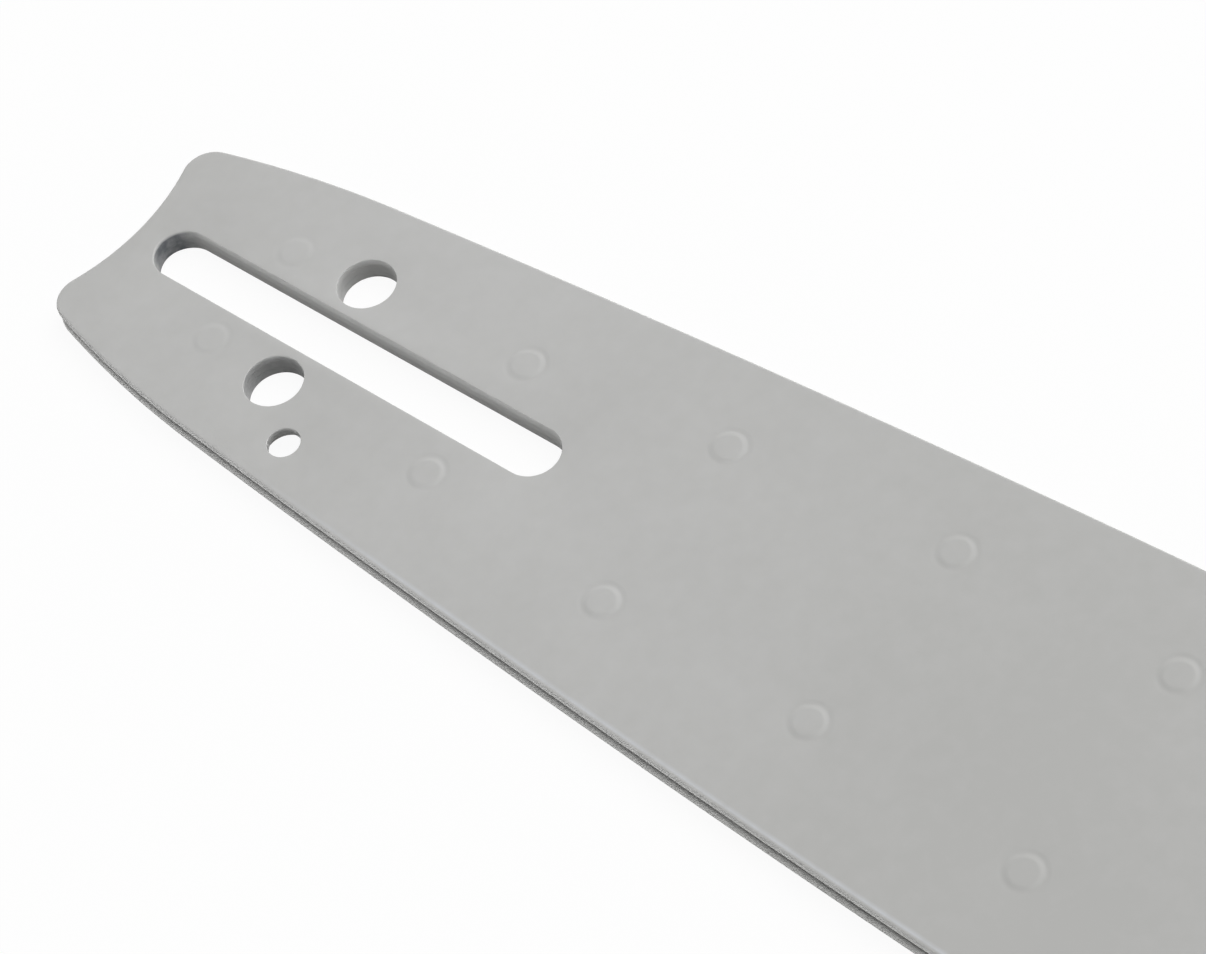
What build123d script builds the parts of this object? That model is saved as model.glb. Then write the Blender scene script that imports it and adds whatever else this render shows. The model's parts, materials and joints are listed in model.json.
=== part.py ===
from build123d import *
import os
from math import asin, cos, floor, pi, radians, sin, sqrt, tan

# Chainsaw guide bar with a sprocket nose, lying flat on the face that seats on the saw.
# Two side plates are spot-welded to a thinner, narrower core, and the three form the groove
# that the saw chain runs in. At the nose a toothed wheel turns on rollers between the side plates.
# +Y runs from the tail to the nose, and +Z up through the plates. The origin is the centre of the
# stud slot on the lower face. All sizes are in millimetres.

# Plates: the groove is as wide as the core is thick
plate_thickness = 1.43
groove_width = 1.30
groove_depth = 6.5
rail_chamfer = 0.3

# Outline: places are measured along the bar from the centre of the stud slot
nose_reach = 541.5
nose_radius = 28.0
bar_width = 72.6
widest_place = 251.0
shoulder_place = -13.0
shoulder_width = 49.0
shoulder_radius = 200.0
tail_wall = 5.15  # between the stud slot and the hollow of the tail
tail_hollow_radius = 39.0
tail_corner_radius = 4.7

# Mounting openings
slot_length = 81.3
slot_width = 9.0
adjuster_radius = 4.7
adjuster_offset = 10.8
adjuster_place = -6.3

# Oil way: a hole in the upper plate, a notch in the core and a long inlet in the lower plate
oil_hole_radius = 2.6
oil_hole_place = 2.9
oil_hole_margin = 0.8  # from the bottom of the groove in to the hole's centre
oil_notch_radius = 3.4
oil_inlet_length = 12.4
oil_inlet_width = 7.6

# Nose bearing: a race, a full ring of rollers and the sprocket's bore
race_radius = 8.5
roller_diameter = 3.0
roller_gap = 0.1
bearing_clearance = 0.05
side_clearance = 0.05

# Nose sprocket
tooth_count = 11
tooth_overhang = 2.0  # how far the teeth stand out beyond the side plates
tooth_gap_radius = 2.6
tooth_flank_angle = 25.0
tooth_tip_rounding = 0.8
pocket_clearance = 0.8

# Nose rivets, upset in plain holes and ground flush with the plates
rivet_count = 4
rivet_radius = 2.0
rivet_circle_radius = 5.0

# Heights of the layers
core_bottom = plate_thickness
core_top = core_bottom + groove_width
bar_top = core_top + plate_thickness
wheel_bottom = core_bottom + side_clearance
wheel_thickness = groove_width - 2 * side_clearance


def toward(start, end, distance):
    """The point at a distance from one point, in the direction of another."""
    return start + (end - start).normalized() * distance


# The rails on the +X side: arcs that run into each other, from the tail to the nose
half_width = bar_width / 2
nose_center = Vector(0, nose_reach - nose_radius)
taper_length = nose_center.Y - widest_place
taper_radius = (taper_length**2 + half_width**2 - nose_radius**2) / (2 * (half_width - nose_radius))
taper_center = Vector(half_width - taper_radius, widest_place)
flank_length = widest_place - shoulder_place
flank_swell = (bar_width - shoulder_width) / 2
flank_radius = (flank_length**2 + flank_swell**2) / (2 * flank_swell)
flank_center = Vector(half_width - flank_radius, widest_place)


def flank_x(place):
    """Half the bar's width at a place on the long arc behind the widest place."""
    return flank_center.X + sqrt(flank_radius**2 - (widest_place - place) ** 2)


shoulder_point = Vector(shoulder_width / 2, shoulder_place)
shoulder_center = toward(shoulder_point, flank_center, shoulder_radius)
tail_reach = slot_length / 2 + tail_wall
tail_center = Vector(0, -tail_reach - tail_hollow_radius)
tail_stock_y = -tail_reach - tail_hollow_radius / 4
oil_hole_center = Vector(flank_x(oil_hole_place) - groove_depth - oil_hole_margin, oil_hole_place)


def arc_about(center, start, end):
    """An arc about a centre, from one point to another."""
    middle = toward(center, (start + end) / 2, (start - center).length)
    return ThreePointArc(start, middle, end)


def plate_outline(inset):
    """A plate's outline, hollow at the tail, with its rails inset from the bar's own rails."""
    tail_drop = tail_stock_y - shoulder_center.Y
    tail_x = shoulder_center.X + sqrt((shoulder_radius - inset) ** 2 - tail_drop**2)
    stock = Vector(tail_x, tail_stock_y)
    shoulder = toward(flank_center, shoulder_point, flank_radius - inset)
    widest = Vector(half_width - inset, widest_place)
    nose_start = toward(taper_center, nose_center, taper_radius - inset)
    tip = Vector(0, nose_reach - inset)
    with BuildSketch() as outline:
        with BuildLine():
            Line((0, tail_stock_y), stock)
            arc_about(shoulder_center, stock, shoulder)
            arc_about(flank_center, shoulder, widest)
            arc_about(taper_center, widest, nose_start)
            arc_about(nose_center, nose_start, tip)
            mirror(about=Plane.YZ)
        make_face()
        with Locations(tail_center):
            Circle(tail_hollow_radius, mode=Mode.SUBTRACT)
    return outline.sketch


# Openings that go straight through all three plates
with BuildSketch() as mounting_openings:
    SlotOverall(slot_length, slot_width, rotation=90)
    with Locations((-adjuster_offset, adjuster_place), (adjuster_offset, adjuster_place)):
        Circle(adjuster_radius)

# The ring of rivets at the nose
with BuildSketch() as rivet_circles:
    with PolarLocations(rivet_circle_radius, rivet_count):
        Circle(rivet_radius)

# The outline that both side plates share
with BuildSketch() as side_outline:
    add(plate_outline(0))
    fillet(side_outline.vertices().sort_by(Axis.Y)[:2], radius=tail_corner_radius)
    add(mounting_openings.sketch, mode=Mode.SUBTRACT)
    with Locations(nose_center):
        add(rivet_circles.sketch, mode=Mode.SUBTRACT)

os.makedirs("parts", exist_ok=True)

# Lower side plate, which seats on the saw and takes in the chain oil
with BuildPart() as lower_plate:
    with BuildSketch():
        add(side_outline.sketch)
        with Locations(oil_hole_center):
            SlotOverall(oil_inlet_length, oil_inlet_width, rotation=90, mode=Mode.SUBTRACT)
    extrude(amount=plate_thickness)
    chamfer(lower_plate.faces().sort_by(Axis.Z)[0].outer_wire().edges(), length=rail_chamfer)
lower_plate.part.label = "lower_plate"
export_step(lower_plate.part, "parts/lower_plate.step")

# Core plate, narrower by the groove's depth, hollowed at the nose for the sprocket
with BuildPart() as core_plate:
    with BuildSketch(Plane.XY.offset(core_bottom)):
        add(plate_outline(groove_depth))
        add(mounting_openings.sketch, mode=Mode.SUBTRACT)
        with Locations(oil_hole_center):
            Circle(oil_notch_radius, mode=Mode.SUBTRACT)
            Rectangle(
                half_width,
                2 * oil_notch_radius,
                align=(Align.MIN, Align.CENTER),
                mode=Mode.SUBTRACT,
            )
        with Locations(nose_center):
            Circle(nose_radius + tooth_overhang + pocket_clearance, mode=Mode.SUBTRACT)
    extrude(amount=groove_width)
core_plate.part.label = "core_plate"
export_step(core_plate.part, "parts/core_plate.step")

# Upper side plate, which the saw's cover clamps
with BuildPart() as upper_plate:
    with BuildSketch(Plane.XY.offset(core_top)):
        add(side_outline.sketch)
        with Locations(oil_hole_center):
            Circle(oil_hole_radius, mode=Mode.SUBTRACT)
    extrude(amount=plate_thickness)
    chamfer(upper_plate.faces().sort_by(Axis.Z)[-1].outer_wire().edges(), length=rail_chamfer)
upper_plate.part.label = "upper_plate"
export_step(upper_plate.part, "parts/upper_plate.step")

# Bearing race: the disc that the rollers run on, riveted between the side plates
with BuildPart() as bearing_race:
    with BuildSketch(Plane((0, nose_center.Y, core_bottom))):
        Circle(race_radius)
        add(rivet_circles.sketch, mode=Mode.SUBTRACT)
    extrude(amount=groove_width)
bearing_race.part.label = "bearing_race"
export_step(bearing_race.part, "parts/bearing_race.step")

# Nose rivets, which hold the race between the side plates
with BuildPart() as nose_rivets:
    with BuildSketch(Plane((0, nose_center.Y, 0))):
        add(rivet_circles.sketch)
    extrude(amount=bar_top)
nose_rivets.part.label = "nose_rivets"
export_step(nose_rivets.part, "parts/nose_rivets.step")

# Needle rollers: as many as fit side by side round the race
roller_radius = roller_diameter / 2
orbit_radius = race_radius + bearing_clearance + roller_radius
roller_count = floor(pi / asin((roller_diameter + roller_gap) / (2 * orbit_radius)))
roller_places = PolarLocations(orbit_radius, roller_count).locations
for number, place in enumerate(roller_places, start=1):
    with BuildPart() as roller:
        with BuildSketch(Plane((0, nose_center.Y, wheel_bottom))):
            with Locations(place):
                Circle(roller_radius)
        extrude(amount=wheel_thickness)
    roller.part.label = f"roller_{number:02d}"
    export_step(roller.part, f"parts/roller_{number:02d}.step")

# Nose sprocket: the gaps between its teeth are as deep as the groove, so that the chain runs on into them
tip_radius = nose_radius + tooth_overhang
gap_center_x = nose_radius - groove_depth + tooth_gap_radius
flank_slope = radians(tooth_flank_angle)
flank_foot = Vector(
    gap_center_x - tooth_gap_radius * sin(flank_slope),
    tooth_gap_radius * cos(flank_slope),
)
flank_end_x = tip_radius + tooth_overhang
flank_end = Vector(flank_end_x, flank_foot.Y + (flank_end_x - flank_foot.X) * tan(flank_slope))

with BuildSketch() as tooth_gap:
    with BuildLine():
        Line((flank_end_x, 0), flank_end)
        Line(flank_end, flank_foot)
        arc_about(Vector(gap_center_x, 0), flank_foot, Vector(gap_center_x - tooth_gap_radius, 0))
        mirror(about=Plane.XZ)
    make_face()

with BuildPart() as nose_sprocket:
    with BuildSketch(Plane((0, nose_center.Y, wheel_bottom))) as wheel:
        Circle(tip_radius)
        with PolarLocations(0, tooth_count):
            add(tooth_gap.sketch, mode=Mode.SUBTRACT)
        fillet(wheel.vertices().group_by(SortBy.DISTANCE)[-1], radius=tooth_tip_rounding)
        Circle(orbit_radius + roller_radius + bearing_clearance, mode=Mode.SUBTRACT)
    extrude(amount=wheel_thickness)
nose_sprocket.part.label = "nose_sprocket"
export_step(nose_sprocket.part, "parts/nose_sprocket.step")
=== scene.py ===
import json
from math import atan2, cos, pi, radians, sin, sqrt, tau

import bmesh
import bpy
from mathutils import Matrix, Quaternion, Vector


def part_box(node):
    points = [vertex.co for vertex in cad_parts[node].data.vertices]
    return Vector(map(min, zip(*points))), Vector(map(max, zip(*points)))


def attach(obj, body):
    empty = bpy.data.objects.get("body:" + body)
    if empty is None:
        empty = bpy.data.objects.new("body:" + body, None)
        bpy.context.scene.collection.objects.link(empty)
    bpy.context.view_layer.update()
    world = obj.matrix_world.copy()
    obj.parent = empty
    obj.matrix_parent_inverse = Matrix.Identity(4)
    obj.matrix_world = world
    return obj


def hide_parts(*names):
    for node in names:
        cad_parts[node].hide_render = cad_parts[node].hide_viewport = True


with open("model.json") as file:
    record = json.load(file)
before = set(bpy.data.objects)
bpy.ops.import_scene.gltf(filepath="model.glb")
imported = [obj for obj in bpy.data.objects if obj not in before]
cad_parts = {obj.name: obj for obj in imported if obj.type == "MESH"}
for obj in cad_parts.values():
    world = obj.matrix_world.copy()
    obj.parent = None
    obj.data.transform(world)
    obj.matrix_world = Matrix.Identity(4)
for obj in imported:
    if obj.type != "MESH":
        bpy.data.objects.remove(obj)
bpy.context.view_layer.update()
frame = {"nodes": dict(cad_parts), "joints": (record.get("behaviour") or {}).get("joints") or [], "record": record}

# A chainsaw guide bar that lies flat, with the finish of its plates, rails, openings, welds and nose.
# All lengths are in metres, in the frame of the solid model: +Y from the tail to the nose, +Z up.

mm = 0.001

# Read from the solid model
plate_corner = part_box("upper_plate")[1]
core_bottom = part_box("core_plate")[0].z
core_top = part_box("core_plate")[1].z
bar_top = plate_corner.z
half_width = plate_corner.x
wheel_low, wheel_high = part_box("nose_sprocket")
joint_places = {joint["name"]: Vector(joint["pos_m"]) for joint in frame["joints"]}
nose_center = joint_places["sprocket_spin"].to_2d()
nose_radius = plate_corner.y - nose_center.y
mounts = {mount["name"]: mount for mount in frame["record"]["mounts"]}
slot_dims = mounts["stud_slot"]["dims"]
oil_center = Vector(mounts["oil_hole"]["pos_m"]).to_2d()

# The outline, as in the solid model
widest_place = 251.0 * mm
shoulder_place = -13.0 * mm
shoulder_width = 49.0 * mm
shoulder_radius = 200.0 * mm
tail_reach = 45.8 * mm
tail_hollow_radius = 39.0 * mm
tail_corner_radius = 4.7 * mm

# The core and its openings, as in the solid model
groove_depth = 6.5 * mm
oil_notch_radius = 3.4 * mm
oil_inlet_length = 12.4 * mm
oil_inlet_width = 7.6 * mm
pocket_radius = 30.8 * mm

# The nose, as in the solid model
tooth_count = 11
tooth_tip_radius = 30.0 * mm
tooth_gap_radius = 2.6 * mm
tooth_flank_angle = radians(25.0)
tooth_tip_rounding = 0.8 * mm
wheel_bore_radius = 11.6 * mm
rivet_count = 4
rivet_radius = 2.0 * mm
rivet_circle_radius = 5.0 * mm

# Rims, rounded by tumbling and by the lacquer
upper_rail_rim = 0.38 * mm
lower_rail_rim = 0.12 * mm
groove_rim = 0.58 * mm
mouth_depth = 2.5 * mm  # how far the lacquer reaches into the groove
flush_share = 0.1  # what is left of the groove's rim along the hollow tail, where the plates lie flush
flush_fade = 3.0 * mm
upper_opening_rim = 0.12 * mm
lower_opening_rim = 0.1 * mm
seam_rim = 0.04 * mm  # in the openings, where two plates meet
worn_center = Vector((-0.2 * mm, -40.5 * mm))  # where the studs have knocked the slot's rim
worn_reach = 4.6 * mm
worn_growth = 3.4
highlight_inset = 0.7 * mm  # the middle of the band along the +X rail's rim where a highlight is painted
highlight_end = 1.3 * mm
highlight_start = 0.0 * mm
highlight_fade = 35.0 * mm
wheel_rim = 0.12 * mm
rivet_rim = 0.15 * mm
crease = radians(40.0)
same_place = 0.002 * mm

# A wall's side: the rims of an outline draw in, and those of an opening widen
outline_side = 1
opening_side = -1

# The places of lacquer and bare steel among a plate's finishes
lacquer_finish = 0
bare_finish = 1

# How many steps each arc is drawn in
rim_steps = 6
hole_steps = 64
slot_end_steps = 32
hollow_steps = 24
corner_steps = 14
shoulder_steps = 14
flank_steps = 32
flank_tail_steps = 4  # of the core's flank, those behind the oil notch
taper_steps = 32
nose_steps = 40
notch_steps = 24
pocket_steps = 24
tooth_gap_steps = 12
tooth_corner_steps = 5
tooth_tip_steps = 6

# Spot welds: round prints of the electrodes in pairs along both rails, a flat middle in a shallow ring
weld_radius = 3.8 * mm
weld_ring_radius = 3.0 * mm
weld_flat_radius = 1.95 * mm
upper_weld_rise = 0.1 * mm
upper_weld_dip = 0.05 * mm
lower_weld_rise = 0.0
lower_weld_dip = 0.05 * mm
weld_around = 40
weld_rings = 21
tail_welds = [
    (-9.7 * mm, -20.4 * mm, 0.5),
    (9.9 * mm, -20.4 * mm, 0.5),
    (-11.8 * mm, 25.2 * mm, 0.9),
    (11.3 * mm, 25.2 * mm, 0.9),
    (-15.7 * mm, 60.5 * mm, 1.0),
    (14.9 * mm, 61.7 * mm, 1.0),
    (-18.2 * mm, 99.0 * mm, 1.0),
    (14.9 * mm, 98.3 * mm, 1.0),
]  # across the bar, along it, strength
weld_start = 135.9 * mm  # the first of the even pairs further along
weld_pitch = 37.2 * mm
weld_margin = 16.2 * mm  # from the rail, for the pairs further along
weld_end = 475.0 * mm


def polar(center, radius, angle):
    """The point at a radius and an angle from a centre."""
    return center + radius * Vector((cos(angle), sin(angle)))


def bearing(center, point):
    """The angle at which a point lies, seen from a centre."""
    return atan2(point.y - center.y, point.x - center.x)


def circles_meet(first, first_radius, second, second_radius):
    """The point furthest to +X where two circles meet."""
    line = second - first
    along = (line.length_squared + first_radius**2 - second_radius**2) / (2 * line.length)
    across = sqrt(first_radius**2 - along**2)
    step = line.normalized()
    foot = first + along * step
    side = across * Vector((step.y, -step.x))
    return max(foot + side, foot - side, key=lambda point: point.x)


def mirrored(arcs):
    """The same arcs on the -X side, in the order that carries on round the outline."""
    return [(Vector((-center.x, center.y)), radius, pi - end, pi - start, steps)
            for center, radius, start, end, steps in reversed(arcs)]


def ring_points(arcs, height, rise, inset, share):
    """Points round arcs that follow each other anticlockwise, joined by straight runs, at a height.
    They move up by the rise and in by the inset, each times the share at that point, where there is
    such a rule. A clockwise arc is a hollow one, and grows with the inset."""
    points = []
    for center, radius, start, end, steps in arcs:
        inward = -1 if end > start else 1
        for step in range(steps + 1):
            angle = start + (end - start) * step / steps
            part = share(polar(center, radius, angle)) if share else 1.0
            place = polar(center, radius + inward * part * inset, angle)
            points.append(Vector((*place, height + part * rise)))
    return [point for point, before in zip(points, points[-1:] + points)
            if (point - before).length > same_place]


def circle(center, radius):
    """A round hole or shaft."""
    return [(center, radius, 0.0, tau, hole_steps)]


def long_slot(center, length, width):
    """A slot along Y with round ends."""
    reach = Vector((0, (length - width) / 2))
    return [
        (center + reach, width / 2, 0.0, pi, slot_end_steps),
        (center - reach, width / 2, pi, tau, slot_end_steps),
    ]


# The arcs of the rail on the +X side, which run into each other
taper_length = nose_center.y - widest_place
taper_radius = (taper_length**2 + half_width**2 - nose_radius**2) / (2 * (half_width - nose_radius))
taper_center = Vector((half_width - taper_radius, widest_place))
flank_length = widest_place - shoulder_place
flank_swell = half_width - shoulder_width / 2
flank_radius = (flank_length**2 + flank_swell**2) / (2 * flank_swell)
flank_center = Vector((half_width - flank_radius, widest_place))
shoulder_point = Vector((shoulder_width / 2, shoulder_place))
shoulder_center = shoulder_point + (flank_center - shoulder_point).normalized() * shoulder_radius
shoulder_end = bearing(shoulder_center, shoulder_point)
tail_center = Vector((0, -tail_reach - tail_hollow_radius))


def rail_x(place):
    """Half the bar's width at a place along it, between the shoulder and the nose."""
    if place < widest_place:
        center, radius = flank_center, flank_radius
    else:
        center, radius = taper_center, taper_radius
    return center.x + sqrt(radius**2 - (place - center.y) ** 2)


def side_plate_outline():
    """A side plate's outline: hollow tail, rounded corners, shoulder, flank, taper and round nose."""
    corner = circles_meet(
        tail_center, tail_hollow_radius + tail_corner_radius,
        shoulder_center, shoulder_radius - tail_corner_radius,
    )
    corner_end = bearing(shoulder_center, corner)
    nose_turn = bearing(taper_center, nose_center)
    arcs = [
        (tail_center, tail_hollow_radius, pi / 2, bearing(tail_center, corner), hollow_steps),
        (corner, tail_corner_radius, bearing(corner, tail_center), corner_end, corner_steps),
        (shoulder_center, shoulder_radius, corner_end, shoulder_end, shoulder_steps),
        (flank_center, flank_radius, shoulder_end, 0.0, flank_steps),
        (taper_center, taper_radius, 0.0, nose_turn, taper_steps),
        (nose_center, nose_radius, nose_turn, pi / 2, nose_steps),
    ]
    return arcs + mirrored(arcs)


def core_outline():
    """The core's outline: narrower by the groove, with the oil notch on +X and the wheel's pocket."""
    inner_flank = flank_radius - groove_depth
    inner_shoulder = shoulder_radius - groove_depth
    inner_taper = taper_radius - groove_depth
    corner = circles_meet(tail_center, tail_hollow_radius, shoulder_center, inner_shoulder)
    pocket_corner = circles_meet(nose_center, pocket_radius, taper_center, inner_taper)
    notch_start, notch_end = (
        bearing(flank_center, Vector((rail_x(place) - groove_depth, place)))
        for place in (oil_center.y - oil_notch_radius, oil_center.y + oil_notch_radius)
    )
    corner_turn = bearing(shoulder_center, corner)
    tail = [
        (tail_center, tail_hollow_radius, pi / 2, bearing(tail_center, corner), hollow_steps),
        (shoulder_center, inner_shoulder, corner_turn, shoulder_end, shoulder_steps),
    ]
    whole_flank = [(flank_center, inner_flank, shoulder_end, 0.0, flank_steps)]
    notched_flank = [
        (flank_center, inner_flank, shoulder_end, notch_start, flank_tail_steps),
        (oil_center, oil_notch_radius, -pi / 2, -3 * pi / 2, notch_steps),
        (flank_center, inner_flank, notch_end, 0.0, flank_steps - flank_tail_steps),
    ]
    nose = [
        (taper_center, inner_taper, 0.0, bearing(taper_center, pocket_corner), taper_steps),
        (nose_center, pocket_radius, bearing(nose_center, pocket_corner), -pi / 2, pocket_steps),
    ]
    return tail + notched_flank + nose + mirrored(tail + whole_flank + nose)


def wheel_outline():
    """The nose wheel's teeth: rounded gaps, straight flanks and rounded tips. A gap points to +X."""
    pitch = tau / tooth_count
    slope = Vector((cos(tooth_flank_angle), sin(tooth_flank_angle)))
    into_tooth = Vector((-slope.y, slope.x))
    gap = Vector((nose_radius - groove_depth + tooth_gap_radius, 0))
    start = gap + into_tooth * (tooth_gap_radius + tooth_tip_rounding)
    reach = tooth_tip_radius - tooth_tip_rounding
    run = sqrt(start.dot(slope) ** 2 - start.length_squared + reach**2) - start.dot(slope)
    tip = start + run * slope
    tip_angle = atan2(tip.y, tip.x)
    arcs = []
    for tooth in range(tooth_count):
        turn = tooth * pitch
        far_turn = turn + pitch
        tip_start = turn + tip_angle
        tip_end = far_turn - tip_angle
        near_flank = turn + tooth_flank_angle - pi / 2
        far_flank = far_turn + pi / 2 - tooth_flank_angle
        gap_start = turn + 3 * pi / 2 - tooth_flank_angle
        gap_end = turn + pi / 2 + tooth_flank_angle
        near_corner = polar(nose_center, reach, tip_start)
        far_corner = polar(nose_center, reach, tip_end)
        arcs += [
            (polar(nose_center, gap.x, turn), tooth_gap_radius, gap_start, gap_end, tooth_gap_steps),
            (near_corner, tooth_tip_rounding, near_flank, tip_start, tooth_corner_steps),
            (nose_center, tooth_tip_radius, tip_start, tip_end, tooth_tip_steps),
            (far_corner, tooth_tip_rounding, tip_end, far_flank, tooth_corner_steps),
        ]
    return arcs


def groove_share(point):
    """The groove's rim fades out towards the hollow tail."""
    far = max(0.0, (point - tail_center).length - tail_hollow_radius)
    return min(1.0, flush_share + far / flush_fade)


def worn_share(point):
    """The slot's rim is rounder where the studs have knocked it."""
    near = max(0.0, 1 - (point - worn_center).length / worn_reach)
    return 1 + worn_growth * near * near * (3 - 2 * near)


def highlight_share(point):
    """How much highlight is painted on the lacquer: only along the +X rail, clear of the tail."""
    if point.x < 0:
        return 0.0
    return min(1.0, max(0.0, (point.y - highlight_start) / highlight_fade))


def wall(start, end, start_rim, end_rim, start_share=None, end_share=None):
    """The rings of a wall from one face to another, with both rims rounded. Each has the face's height,
    its rise from there, its inset, and the rule for its share along the way."""
    way = 1 if end > start else -1
    quarter = [pi / 2 * step / rim_steps for step in range(rim_steps + 1)]
    first = [(start, way * start_rim * (1 - sin(turn)), start_rim * (1 - cos(turn)), start_share)
             for turn in reversed(quarter)]
    last = [(end, -way * end_rim * (1 - sin(turn)), end_rim * (1 - cos(turn)), end_share)
            for turn in quarter]
    return (first if start_rim else first[:1]) + (last if end_rim else last[:1])


def skin(form, arcs, profile, side, finish=0):
    """A wall along a profile of rings, as an outline or an opening, and the vertices of each ring.
    It takes the first of its piece's finishes, or another by its number."""
    rings = [[form.verts.new(point) for point in ring_points(arcs, height, rise, side * inset, share)]
             for height, rise, inset, share in profile]
    for lower, upper in zip(rings, rings[1:]):
        for here in range(len(lower)):
            face = form.faces.new((lower[here - 1], lower[here], upper[here], upper[here - 1]))
            face.smooth = True
            face.material_index = finish
    return rings


def face_over(form, rings, finish=0):
    """A flat face between an outline and its openings, with a finish as a wall has."""
    edges = []
    for ring in rings:
        for first, second in zip(ring, ring[1:] + ring[:1]):
            edges.append(form.edges.get((first, second)) or form.edges.new((first, second)))
    filled = bmesh.ops.triangle_fill(form, use_beauty=True, edges=edges)
    for face in filled["geom"]:
        if isinstance(face, bmesh.types.BMFace):
            face.material_index = finish


def piece(name, form, finishes, body):
    """Closes a form into a named object that moves with a body and takes a slot's finish."""
    bmesh.ops.remove_doubles(form, verts=form.verts, dist=same_place)
    bmesh.ops.recalc_face_normals(form, faces=form.faces)
    mesh = bpy.data.meshes.new(name)
    form.to_mesh(mesh)
    form.free()
    mesh.set_sharp_from_angle(angle=crease)
    for finish in finishes:
        mesh.materials.append(finish)
    made = bpy.data.objects.new(name, mesh)
    bpy.context.scene.collection.objects.link(made)
    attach(made, body)
    return made


def linear(code):
    """A colour written as sRGB hex, in linear light."""
    shares = [int(code[place:place + 2], 16) / 255 for place in (1, 3, 5)]
    light = [share / 12.92 if share <= 0.04045 else ((share + 0.055) / 1.055) ** 2.4
             for share in shares]
    return light + [1.0]


def add(tree, kind, inputs=None, **settings):
    """Adds a node with its settings, and sets each input to a value or links it to an output."""
    made = tree.nodes.new(kind)
    for name, value in settings.items():
        setattr(made, name, value)
    for key, value in (inputs or {}).items():
        if isinstance(value, bpy.types.NodeSocket):
            tree.links.new(value, made.inputs[key])
        else:
            made.inputs[key].default_value = value
    return made


def new_finish(name):
    """A material, its nodes, its shader and the object's own coordinates."""
    material = bpy.data.materials.new(name)
    material.use_nodes = True
    tree = material.node_tree
    place = add(tree, "ShaderNodeTexCoord").outputs["Object"]
    return material, tree, tree.nodes["Principled BSDF"], place


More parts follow.
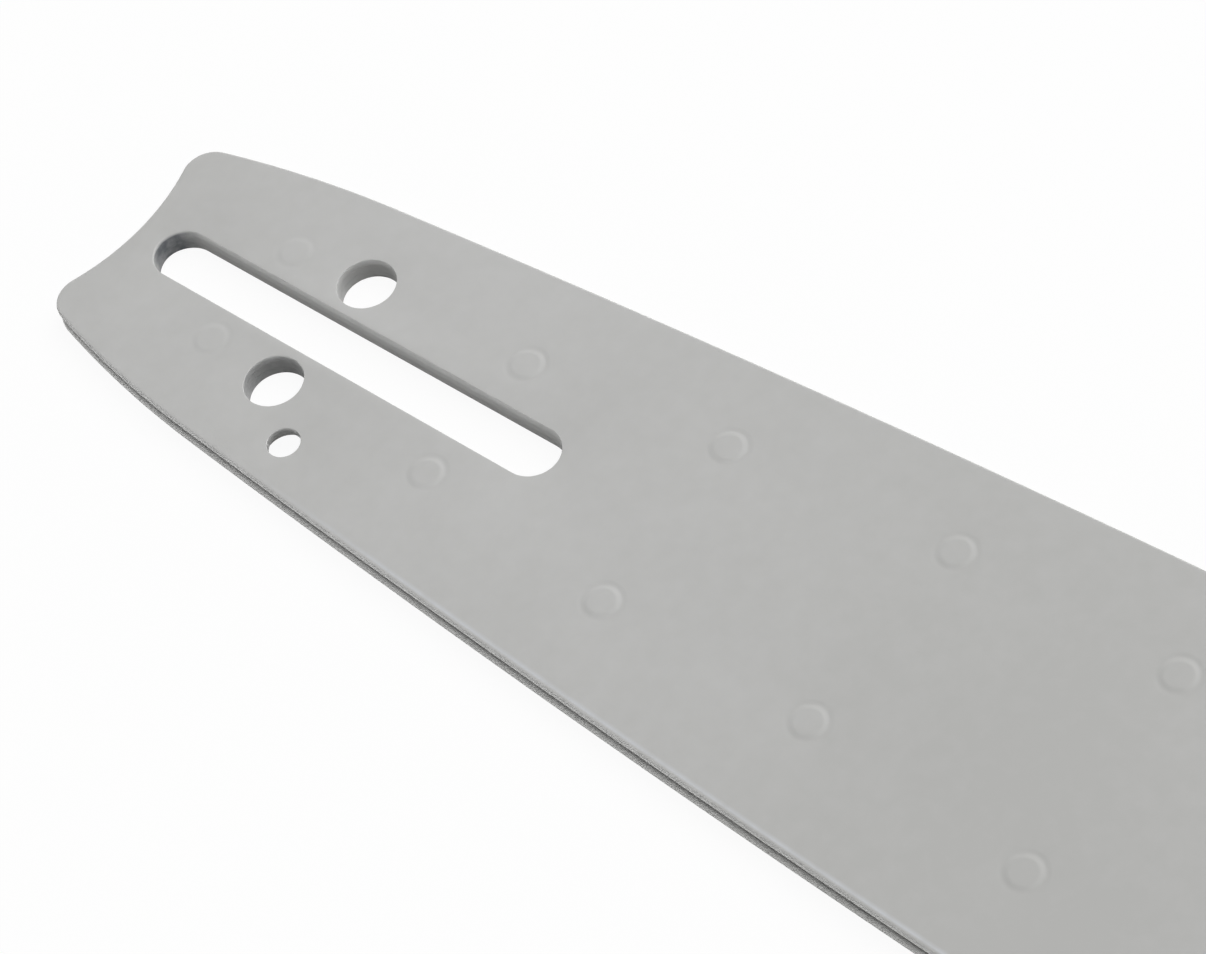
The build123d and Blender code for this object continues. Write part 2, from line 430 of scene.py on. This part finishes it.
def satin_lacquer():
    """Baked satin lacquer sprayed on rolled steel. It gives a soft even grey with faint clouds, partly
    where the coat is thicker and partly painted shade over the face towards the nose, and a trace of
    orange peel in the gloss. A painted highlight makes it paler along the rim of the +X rail. Painted
    shade darkens the wall at the slot's tail end and the wall of the adjuster hole on the +X side."""
    cloud_size = 130.0 * mm
    cloud_and_shade_shift = (-220.0 * mm, 90.0 * mm, 900.0 * mm)  # which part of the clouds lies on the tail, chosen so that they also paint shade on the face towards the nose
    cloud_weight = 3.0  # against the mottle
    mottle_size = 3.0 * mm
    thin_cover = 1.2  # of clouds and mottle together
    thick_cover = 2.8
    patch_low = 0.3  # the noise at which the painted highlight and the painted shade are thinnest
    patch_high = 0.6  # and at which they are whole
    patch_least = 0.6  # how much of them is left where they are thinnest
    peel_size = 0.9 * mm
    peel_depth = 0.004 * mm
    peel_strength = 0.5
    least_rough = 0.5
    most_rough = 0.62
    specular_level = 0.2
    # Painted shade: a dark patch down the wall and the lower part of the rim at the slot's tail end, and a darker
    # wall in the adjuster hole on the +X side.
    slot_shade_center = (-0.7 * mm, -40.3 * mm, 0.0)
    slot_shade_core = 1.5 * mm
    slot_shade_reach = 5.7 * mm
    slot_shade_grain = 1.6 * mm
    slot_shade_foot = bar_top - 0.45 * mm
    slot_shade_top = bar_top - 0.08 * mm
    shaded_hole = mounts["adjuster_hole_right"]
    hole_shade_center = (*shaded_hole["pos_m"][:2], 0.0)
    hole_shade_edge = shaded_hole["dims"]["r_mm"] * mm + upper_opening_rim
    hole_shade_fade = 0.1 * mm
    hole_shade_share = 0.35
    material, tree, shader, place = new_finish("satin_lacquer")
    # The clouds give the coat's own uneven tone, and their size and shift are chosen so that they also paint a
    # shade over the face towards the nose.
    drift = add(tree, "ShaderNodeMapping", {"Vector": place, "Location": cloud_and_shade_shift})
    clouds_and_shade = add(tree, "ShaderNodeTexNoise", {"Vector": drift.outputs[0], "Scale": 1 / cloud_size,
                 "Detail": 3.0})
    mottle = add(tree, "ShaderNodeTexNoise", {"Vector": place, "Scale": 1 / mottle_size, "Detail": 3.0})
    peel = add(tree, "ShaderNodeTexNoise", {"Vector": place, "Scale": 1 / peel_size, "Detail": 1.0})
    cover = add(tree, "ShaderNodeMath", {0: clouds_and_shade.outputs["Fac"], 1: cloud_weight,
                2: mottle.outputs["Fac"]}, operation="MULTIPLY_ADD")
    share = add(tree, "ShaderNodeMapRange", {"Value": cover.outputs[0], "From Min": thin_cover,
                "From Max": thick_cover})
    coat_and_shade = add(tree, "ShaderNodeMix", {0: share.outputs["Result"], 6: linear("#B2B2B0"),
               7: linear("#BEBEBD")}, data_type="RGBA")
    # A painted highlight: the lacquer is paler in a band along the +X rail's rim.
    rim_highlight = add(tree, "ShaderNodeAttribute", attribute_name="rim_highlight")
    uneven = add(tree, "ShaderNodeMapRange", {"Value": mottle.outputs["Fac"], "From Min": patch_low,
                 "From Max": patch_high, "To Min": patch_least})
    bright = add(tree, "ShaderNodeMath", {0: rim_highlight.outputs["Fac"], 1: uneven.outputs["Result"]},
                 operation="MULTIPLY")
    painted_highlight = add(tree, "ShaderNodeMix", {0: bright.outputs[0], 6: coat_and_shade.outputs[2],
                   7: linear("#C3C5C8")}, data_type="RGBA")
    # Painted shade: the lacquer is darkened on the wall and lower rim at the slot's tail end and on the wall of
    # the +X adjuster hole.
    plan = add(tree, "ShaderNodeVectorMath", {0: place, 1: (1.0, 1.0, 0.0)}, operation="MULTIPLY")
    far = add(tree, "ShaderNodeVectorMath", {0: plan.outputs[0], 1: slot_shade_center}, operation="DISTANCE")
    near = add(tree, "ShaderNodeMapRange", {"Value": far.outputs["Value"], "From Min": slot_shade_reach,
               "From Max": slot_shade_core}, interpolation_type="SMOOTHSTEP")
    height = add(tree, "ShaderNodeSeparateXYZ", {0: place}).outputs["Z"]
    below = add(tree, "ShaderNodeMapRange", {"Value": height, "From Min": slot_shade_top,
                "From Max": slot_shade_foot})
    grain = add(tree, "ShaderNodeTexNoise", {"Vector": place, "Scale": 1 / slot_shade_grain, "Detail": 3.0})
    patchy = add(tree, "ShaderNodeMapRange", {"Value": grain.outputs["Fac"], "From Min": patch_low,
                 "From Max": patch_high, "To Min": patch_least})
    off_hole = add(tree, "ShaderNodeVectorMath", {0: plan.outputs[0], 1: hole_shade_center},
                   operation="DISTANCE")
    in_hole = add(tree, "ShaderNodeMapRange", {"Value": off_hole.outputs["Value"],
                  "From Min": hole_shade_edge + hole_shade_fade, "From Max": hole_shade_edge, "To Max": hole_shade_share})
    marked = add(tree, "ShaderNodeMath", {0: near.outputs["Result"], 1: in_hole.outputs["Result"]},
                 operation="MAXIMUM")
    spot = add(tree, "ShaderNodeMath", {0: marked.outputs[0], 1: below.outputs["Result"]},
               operation="MULTIPLY")
    painted_shade_mask = add(tree, "ShaderNodeMath", {0: spot.outputs[0], 1: patchy.outputs["Result"]},
                operation="MULTIPLY")
    with_painted_shade = add(tree, "ShaderNodeMix", {0: painted_shade_mask.outputs[0], 6: painted_highlight.outputs[2],
                 7: linear("#686B6F")}, data_type="RGBA")
    gloss = add(tree, "ShaderNodeMapRange", {"Value": mottle.outputs["Fac"], "To Min": least_rough,
                "To Max": most_rough})
    bump = add(tree, "ShaderNodeBump", {"Height": peel.outputs["Fac"], "Distance": peel_depth,
               "Strength": peel_strength})
    shader.inputs["Specular IOR Level"].default_value = specular_level
    tree.links.new(with_painted_shade.outputs[2], shader.inputs["Base Color"])
    tree.links.new(gloss.outputs["Result"], shader.inputs["Roughness"])
    tree.links.new(bump.outputs["Normal"], shader.inputs["Normal"])
    return material


def steel(name, dark, light, metallic, rough, grain, streak):
    """Steel between two tones. Its grain has a size in metres and is drawn out along the streak's axes,
    and its roughness follows the grain, so that the metal glints unevenly along its working marks."""
    rough_spread = 0.08
    mark_depth = 0.01 * mm
    mark_strength = 0.4
    material, tree, shader, place = new_finish(name)
    drawn = add(tree, "ShaderNodeMapping", {"Vector": place, "Scale": streak})
    marks = add(tree, "ShaderNodeTexNoise", {"Vector": drawn.outputs[0], "Scale": 1 / grain,
                "Detail": 4.0})
    tone = add(tree, "ShaderNodeMix", {0: marks.outputs["Fac"], 6: linear(dark), 7: linear(light)},
               data_type="RGBA")
    gloss = add(tree, "ShaderNodeMapRange", {"Value": marks.outputs["Fac"],
                "To Min": rough - rough_spread, "To Max": rough + rough_spread})
    bump = add(tree, "ShaderNodeBump", {"Height": marks.outputs["Fac"], "Distance": mark_depth,
               "Strength": mark_strength})
    tree.links.new(tone.outputs[2], shader.inputs["Base Color"])
    tree.links.new(gloss.outputs["Result"], shader.inputs["Roughness"])
    tree.links.new(bump.outputs["Normal"], shader.inputs["Normal"])
    shader.inputs["Metallic"].default_value = metallic
    return material


def seen_directly(tree):
    """1 for what the camera or a reflection sees, and 0 for the light that falls on things."""
    ray = add(tree, "ShaderNodeLightPath").outputs
    seen = add(tree, "ShaderNodeMath", {0: ray["Is Camera Ray"], 1: ray["Is Glossy Ray"]},
               operation="MAXIMUM")
    shown = add(tree, "ShaderNodeMath", {0: seen.outputs[0], 1: ray["Is Transmission Ray"]},
                operation="MAXIMUM")
    return shown.outputs[0]


def open_tree(name, sockets):
    """A geometry tree with named inputs, and its input sockets."""
    tree = bpy.data.node_groups.new(name, "GeometryNodeTree")
    tree.interface.new_socket("Geometry", in_out="INPUT", socket_type="NodeSocketGeometry")
    for socket, kind in sockets.items():
        tree.interface.new_socket(socket, in_out="INPUT", socket_type=kind)
    tree.interface.new_socket("Geometry", in_out="OUTPUT", socket_type="NodeSocketGeometry")
    return tree, add(tree, "NodeGroupInput").outputs


def grown(name, seed, tree, values):
    """The plain mesh that a geometry tree makes from a seed mesh, with its named inputs set."""
    holder = bpy.data.objects.new(name, seed)
    bpy.context.scene.collection.objects.link(holder)
    modifier = holder.modifiers.new(name, "NODES")
    modifier.node_group = tree
    for item in tree.interface.items_tree:
        if item.in_out == "INPUT" and item.name in values:
            modifier[item.identifier] = values[item.name]
    graph = bpy.context.evaluated_depsgraph_get()
    mesh = bpy.data.meshes.new_from_object(holder.evaluated_get(graph))
    mesh.polygons.foreach_set("material_index", [0] * len(mesh.polygons))
    bpy.data.objects.remove(holder)
    return mesh


def weld_tree():
    """A round mark at each point: from the plate down into a shallow ring, and up to a flat middle."""
    tree, given = open_tree("weld_marks", {
        "Radius": "NodeSocketFloat", "Ring Radius": "NodeSocketFloat", "Flat Radius": "NodeSocketFloat",
        "Rise": "NodeSocketFloat", "Dip": "NodeSocketFloat", "Around": "NodeSocketInt",
        "Rings": "NodeSocketInt", "Turn": "NodeSocketRotation", "Lacquer": "NodeSocketMaterial",
    })
    disc = add(tree, "GeometryNodeMeshCone", {
        "Vertices": given["Around"], "Side Segments": given["Rings"], "Radius Top": 0.0,
        "Radius Bottom": given["Radius"], "Depth": 0.0,
    }, fill_type="NONE")
    place = add(tree, "GeometryNodeInputPosition")
    reach = add(tree, "ShaderNodeVectorMath", {0: place.outputs[0]}, operation="LENGTH")
    sunk = add(tree, "ShaderNodeMapRange", {
        "Value": reach.outputs["Value"], "From Min": given["Radius"], "From Max": given["Ring Radius"],
        "To Max": given["Dip"],
    }, interpolation_type="SMOOTHSTEP")
    climb = add(tree, "ShaderNodeMath", {0: given["Rise"], 1: given["Dip"]}, operation="ADD")
    raised = add(tree, "ShaderNodeMapRange", {
        "Value": reach.outputs["Value"], "From Min": given["Ring Radius"],
        "From Max": given["Flat Radius"], "To Max": climb.outputs[0],
    }, interpolation_type="SMOOTHSTEP")
    lift = add(tree, "ShaderNodeMath", {0: raised.outputs["Result"], 1: sunk.outputs["Result"]},
               operation="SUBTRACT")
    offset = add(tree, "ShaderNodeCombineXYZ", {"Z": lift.outputs[0]})
    print_form = add(tree, "GeometryNodeSetPosition", {"Geometry": disc.outputs["Mesh"],
                     "Offset": offset.outputs[0]})
    smooth = add(tree, "GeometryNodeSetShadeSmooth", {"Geometry": print_form.outputs[0]})
    strength = add(tree, "GeometryNodeInputNamedAttribute", {"Name": "strength"}, data_type="FLOAT")
    size = add(tree, "ShaderNodeCombineXYZ", {"X": 1.0, "Y": 1.0, "Z": strength.outputs["Attribute"]})
    marks = add(tree, "GeometryNodeInstanceOnPoints", {
        "Points": given["Geometry"], "Instance": smooth.outputs[0], "Rotation": given["Turn"],
        "Scale": size.outputs[0],
    })
    real = add(tree, "GeometryNodeRealizeInstances", {"Geometry": marks.outputs[0]})
    coated = add(tree, "GeometryNodeSetMaterial", {"Geometry": real.outputs[0],
                 "Material": given["Lacquer"]})
    add(tree, "NodeGroupOutput", {"Geometry": coated.outputs[0]})
    return tree


def rivet_tree():
    """A ring of copies of one rivet about the nose's centre."""
    tree, given = open_tree("rivet_ring", {
        "Count": "NodeSocketInt", "Circle Radius": "NodeSocketFloat", "Center": "NodeSocketVector",
        "Steel": "NodeSocketMaterial",
    })
    ring = add(tree, "GeometryNodeMeshCircle", {"Vertices": given["Count"],
               "Radius": given["Circle Radius"]})
    set_out = add(tree, "GeometryNodeInstanceOnPoints", {"Points": ring.outputs[0],
                  "Instance": given["Geometry"]})
    moved = add(tree, "GeometryNodeTransform", {"Geometry": set_out.outputs[0],
                "Translation": given["Center"]})
    real = add(tree, "GeometryNodeRealizeInstances", {"Geometry": moved.outputs[0]})
    coated = add(tree, "GeometryNodeSetMaterial", {"Geometry": real.outputs[0],
                 "Material": given["Steel"]})
    add(tree, "NodeGroupOutput", {"Geometry": coated.outputs[0]})
    return tree


def weld_places():
    """Where the welds are, with their strength: those at the tail, then pairs at an even pitch."""
    count = int((weld_end - weld_start) / weld_pitch) + 1
    places = [weld_start + step * weld_pitch for step in range(count)]
    return tail_welds + [(side * (rail_x(place) - weld_margin), place, 1.0)
                         for place in places for side in (-1, 1)]


def side_plate(name, node, faces, rims, oil_opening, weld_heights, finishes):
    """A side plate between its inner and its outer face. It is lacquered, with weld marks on the outer
    face, and bare on the inner face, but for a band along the groove's mouth."""
    inner, outer = faces
    rail_rim, opening_rim = rims
    weld_rise, weld_dip = weld_heights
    slot, *holes = openings
    mouth = [(inner, 0.0, mouth_depth, None)]
    rail = wall(inner, outer, groove_rim, rail_rim, groove_share)
    band = [(outer, 0.0, highlight_inset, None), (outer, 0.0, highlight_end, None)]
    form = bmesh.new()
    # This attribute marks the band along the +X rail's rim where a highlight is painted.
    rim_highlight = form.verts.layers.float.new("rim_highlight")
    rails = skin(form, side_plate_outline(), mouth + rail + band, outline_side)
    band_middle = rails[-2]
    for vert in band_middle:
        vert[rim_highlight] = highlight_share(vert.co)
    slot_wall = wall(inner, outer, seam_rim, opening_rim, None, worn_share)
    walls = [rails, skin(form, slot, slot_wall, opening_side)]
    walls += [skin(form, arcs, wall(inner, outer, seam_rim, opening_rim), opening_side)
              for arcs in holes + oil_opening + rivet_holes]
    seats = []
    for x, y, _ in weld_marks:
        center = Vector((x, y))
        seats.append([form.verts.new((*polar(center, weld_radius, tau * step / weld_around), outer))
                      for step in range(weld_around)])
    face_over(form, [rings[0] for rings in walls], bare_finish)
    face_over(form, [rings[-1] for rings in walls] + seats, lacquer_finish)
    points = bpy.data.meshes.new(name + "_welds")
    points.from_pydata([(x, y, outer) for x, y, _ in weld_marks], [], [])
    points.attributes.new("strength", "FLOAT", "POINT")
    strengths = [strength for _, _, strength in weld_marks]
    points.attributes["strength"].data.foreach_set("value", strengths)
    form.from_mesh(grown(name + "_welds", points, weld_tree(), {
        "Radius": weld_radius, "Ring Radius": weld_ring_radius, "Flat Radius": weld_flat_radius,
        "Rise": weld_rise, "Dip": weld_dip, "Around": weld_around, "Rings": weld_rings,
        "Turn": (0.0 if outer > inner else pi, 0.0, 0.0), "Lacquer": finishes[0],
    }))
    made = piece(name, form, finishes, "bar")
    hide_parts(node)


def cut_core(lacquer, bare):
    """The core plate, bare at the bottom of the groove, lacquered in the openings and at the tail."""
    form = bmesh.new()
    sharp = wall(core_bottom, core_top, 0.0, 0.0)
    rounded = wall(core_bottom, core_top, seam_rim, seam_rim)
    walls = [skin(form, core_outline(), sharp, outline_side, bare_finish)]
    walls += [skin(form, arcs, rounded, opening_side, lacquer_finish) for arcs in openings]
    for face in form.faces:
        if (face.calc_center_median().to_2d() - tail_center).length < tail_hollow_radius + same_place:
            face.material_index = lacquer_finish
    face_over(form, [rings[0] for rings in walls], bare_finish)
    face_over(form, [rings[-1] for rings in walls], bare_finish)
    made = piece("core_plate_cut", form, [lacquer, bare], "bar")
    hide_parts("core_plate")


def nose_wheel(metal):
    """The toothed wheel in the nose, with its edges broken."""
    form = bmesh.new()
    profile = wall(wheel_low.z, wheel_high.z, wheel_rim, wheel_rim)
    teeth = skin(form, wheel_outline(), profile, outline_side)
    bore = skin(form, circle(nose_center, wheel_bore_radius), profile, opening_side)
    face_over(form, [teeth[0], bore[0]])
    face_over(form, [teeth[-1], bore[-1]])
    made = piece("nose_wheel", form, [metal], "sprocket")
    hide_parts("nose_sprocket")


def rivets(metal):
    """Four rivets ground flush, with a fine ring round each head."""
    form = bmesh.new()
    profile = wall(0.0, bar_top, rivet_rim, rivet_rim)
    shank = skin(form, circle(Vector((0, 0)), rivet_radius), profile, outline_side)
    for end in (shank[0], shank[-1]):
        face_over(form, [end])
    bmesh.ops.recalc_face_normals(form, faces=form.faces)
    seed = bpy.data.meshes.new("rivet")
    form.to_mesh(seed)
    form.free()
    ring = bmesh.new()
    ring.from_mesh(grown("rivet_ring", seed, rivet_tree(), {
        "Count": rivet_count, "Circle Radius": rivet_circle_radius, "Center": (*nose_center, 0.0),
        "Steel": metal,
    }))
    made = piece("rivets_ground", ring, [metal], "bar")
    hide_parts("nose_rivets")


slot_width = 2 * slot_dims["hole_r_mm"] * mm
openings = [long_slot(Vector((0, 0)), slot_dims["slot_length_mm"] * mm, slot_width)]
for side in ("left", "right"):
    hole = mounts["adjuster_hole_" + side]
    openings.append(circle(Vector(hole["pos_m"]).to_2d(), hole["dims"]["r_mm"] * mm))
rivet_holes = [circle(polar(nose_center, rivet_circle_radius, tau * turn / rivet_count), rivet_radius)
               for turn in range(rivet_count)]
oil_hole = [circle(oil_center, mounts["oil_hole"]["dims"]["r_mm"] * mm)]
oil_inlet = [long_slot(oil_center, oil_inlet_length, oil_inlet_width)]

lacquer = satin_lacquer()
# Cold-rolled steel left bare in the groove, dull and dark under a film of oil
groove_steel = steel("oiled_rolled_steel", "#6A6A67", "#8A8A86", metallic=0.4, rough=0.45,
                     grain=1.2 * mm, streak=(1.0, 0.15, 1.0))
# Hardened sprocket steel, grey from the quench, with a faint mottle
wheel_steel = steel("quenched_steel", "#6C6D70", "#8A8B8D", metallic=1.0, rough=0.38,
                    grain=2.0 * mm, streak=(1.0, 1.0, 1.0))
# Ground bearing steel, bright, with fine lapping marks
bearing_steel = steel("ground_bearing_steel", "#A9AAAC", "#C6C7C8", metallic=1.0, rough=0.22,
                      grain=0.6 * mm, streak=(1.0, 1.0, 0.2))
# Rivet steel ground flush with the plates, streaked along the grinder's travel
rivet_steel = steel("ground_rivet_steel", "#7A7B7C", "#9C9D9D", metallic=1.0, rough=0.42,
                    grain=0.5 * mm, streak=(1.0, 0.12, 1.0))

plate_finishes = [lacquer, groove_steel]
weld_marks = weld_places()
side_plate(
    "upper_plate_lacquered", "upper_plate", (core_top, bar_top), (upper_rail_rim, upper_opening_rim),
    oil_hole, (upper_weld_rise, upper_weld_dip), plate_finishes,
)
side_plate(
    "lower_plate_lacquered", "lower_plate", (core_bottom, 0.0), (lower_rail_rim, lower_opening_rim),
    oil_inlet, (lower_weld_rise, lower_weld_dip), plate_finishes,
)
cut_core(lacquer, groove_steel)
nose_wheel(wheel_steel)
rivets(rivet_steel)
for name, node in frame["nodes"].items():
    if name == "bearing_race" or name.startswith("roller_"):
        for slot in node.material_slots:
            slot.material = bearing_steel

# A white sweep: it shows white to the camera and in reflections, and keeps part of the bar's shadow
floor_drop = 0.05 * mm
floor_half = 6.0
shadow_share = 0.06
white = bpy.data.materials.new("white_paper_sweep")
white.use_nodes = True
paper = white.node_tree
paper.nodes.clear()
glow_share = add(paper, "ShaderNodeMath", {0: seen_directly(paper), 1: 1 - shadow_share},
                 operation="MULTIPLY")
matt = add(paper, "ShaderNodeBsdfDiffuse", {"Color": linear("#F0F0F0")})
glow = add(paper, "ShaderNodeEmission", {"Color": linear("#FFFFFF"), "Strength": 1.0})
sheet = add(paper, "ShaderNodeMixShader", {0: glow_share.outputs[0], 1: matt.outputs[0],
            2: glow.outputs[0]})
add(paper, "ShaderNodeOutputMaterial", {"Surface": sheet.outputs[0]})
floor_mesh = bpy.data.meshes.new("paper_sweep")
floor_mesh.from_pydata(
    [(x * floor_half, y * floor_half, -floor_drop) for x, y in ((-1, -1), (1, -1), (1, 1), (-1, 1))],
    [], [(0, 1, 2, 3)],
)
floor_mesh.materials.append(white)
floor = bpy.data.objects.new("paper_sweep", floor_mesh)
bpy.context.scene.collection.objects.link(floor)

# The room's light: white walls that glow low down all round, and a little from above.
# It shows as white where the camera or a reflection sees it.
wall_glow = 4.0
wall_top = 0.3  # the sine of the height at which the glow has faded out
wall_foot = 0.05
ambient = 0.085
world = bpy.data.worlds.new("white_room")
world.use_nodes = True
bpy.context.scene.world = world
room = world.node_tree
direction = add(room, "ShaderNodeTexCoord").outputs["Generated"]
height = add(room, "ShaderNodeSeparateXYZ", {0: direction}).outputs["Z"]
glow = add(room, "ShaderNodeMapRange", {
    "Value": height, "From Min": wall_top, "From Max": wall_foot, "To Min": ambient,
    "To Max": wall_glow,
}, interpolation_type="SMOOTHSTEP")
level = add(room, "ShaderNodeMapRange", {
    "Value": seen_directly(room), "To Min": glow.outputs["Result"], "To Max": 1.0,
})
room.links.new(level.outputs["Result"], room.nodes["Background"].inputs["Strength"])
room.nodes["Background"].inputs["Color"].default_value = linear("#FFFFFF")

# One large softbox, high beyond the far rail
softbox_place = Vector((-2.31, 0.53, 3.60))
softbox_aim = Vector((0.0, 0.03, 0.0))
softbox_side = 4.1
softbox_power = 206.0
softbox = bpy.data.lights.new("softbox", "AREA")
softbox.shape = "RECTANGLE"
softbox.size = softbox_side
softbox.size_y = softbox_side
softbox.energy = softbox_power
softbox_object = bpy.data.objects.new("softbox", softbox)
softbox_object.location = softbox_place
softbox_object.rotation_mode = "QUATERNION"
softbox_object.rotation_quaternion = (softbox_aim - softbox_place).to_track_quat("-Z", "Y")
bpy.context.scene.collection.objects.link(softbox_object)

# The camera: beside and above the bar, looking back at the tail, and leaning over
camera_place = Vector((182.27 * mm, 295.38 * mm, 405.32 * mm))
camera_aim = Vector((-1.92 * mm, 48.18 * mm, bar_top))
camera_lean = radians(-17.52)
film_width = 36.0  # this and the focal length are in millimetres
focal_length = 105.18
nearest_view = 0.01
farthest_view = 50.0
lens = bpy.data.cameras.new("camera")
lens.sensor_fit = "HORIZONTAL"
lens.sensor_width = film_width
lens.lens = focal_length
lens.clip_start = nearest_view
lens.clip_end = farthest_view
camera = bpy.data.objects.new("camera", lens)
camera.location = camera_place
camera.rotation_mode = "QUATERNION"
level_turn = (camera_aim - camera_place).to_track_quat("-Z", "Y")
camera.rotation_quaternion = level_turn @ Quaternion((0.0, 0.0, 1.0), camera_lean)
bpy.context.scene.collection.objects.link(camera)
bpy.context.scene.camera = camera
bpy.context.scene.view_settings.view_transform = "Standard"
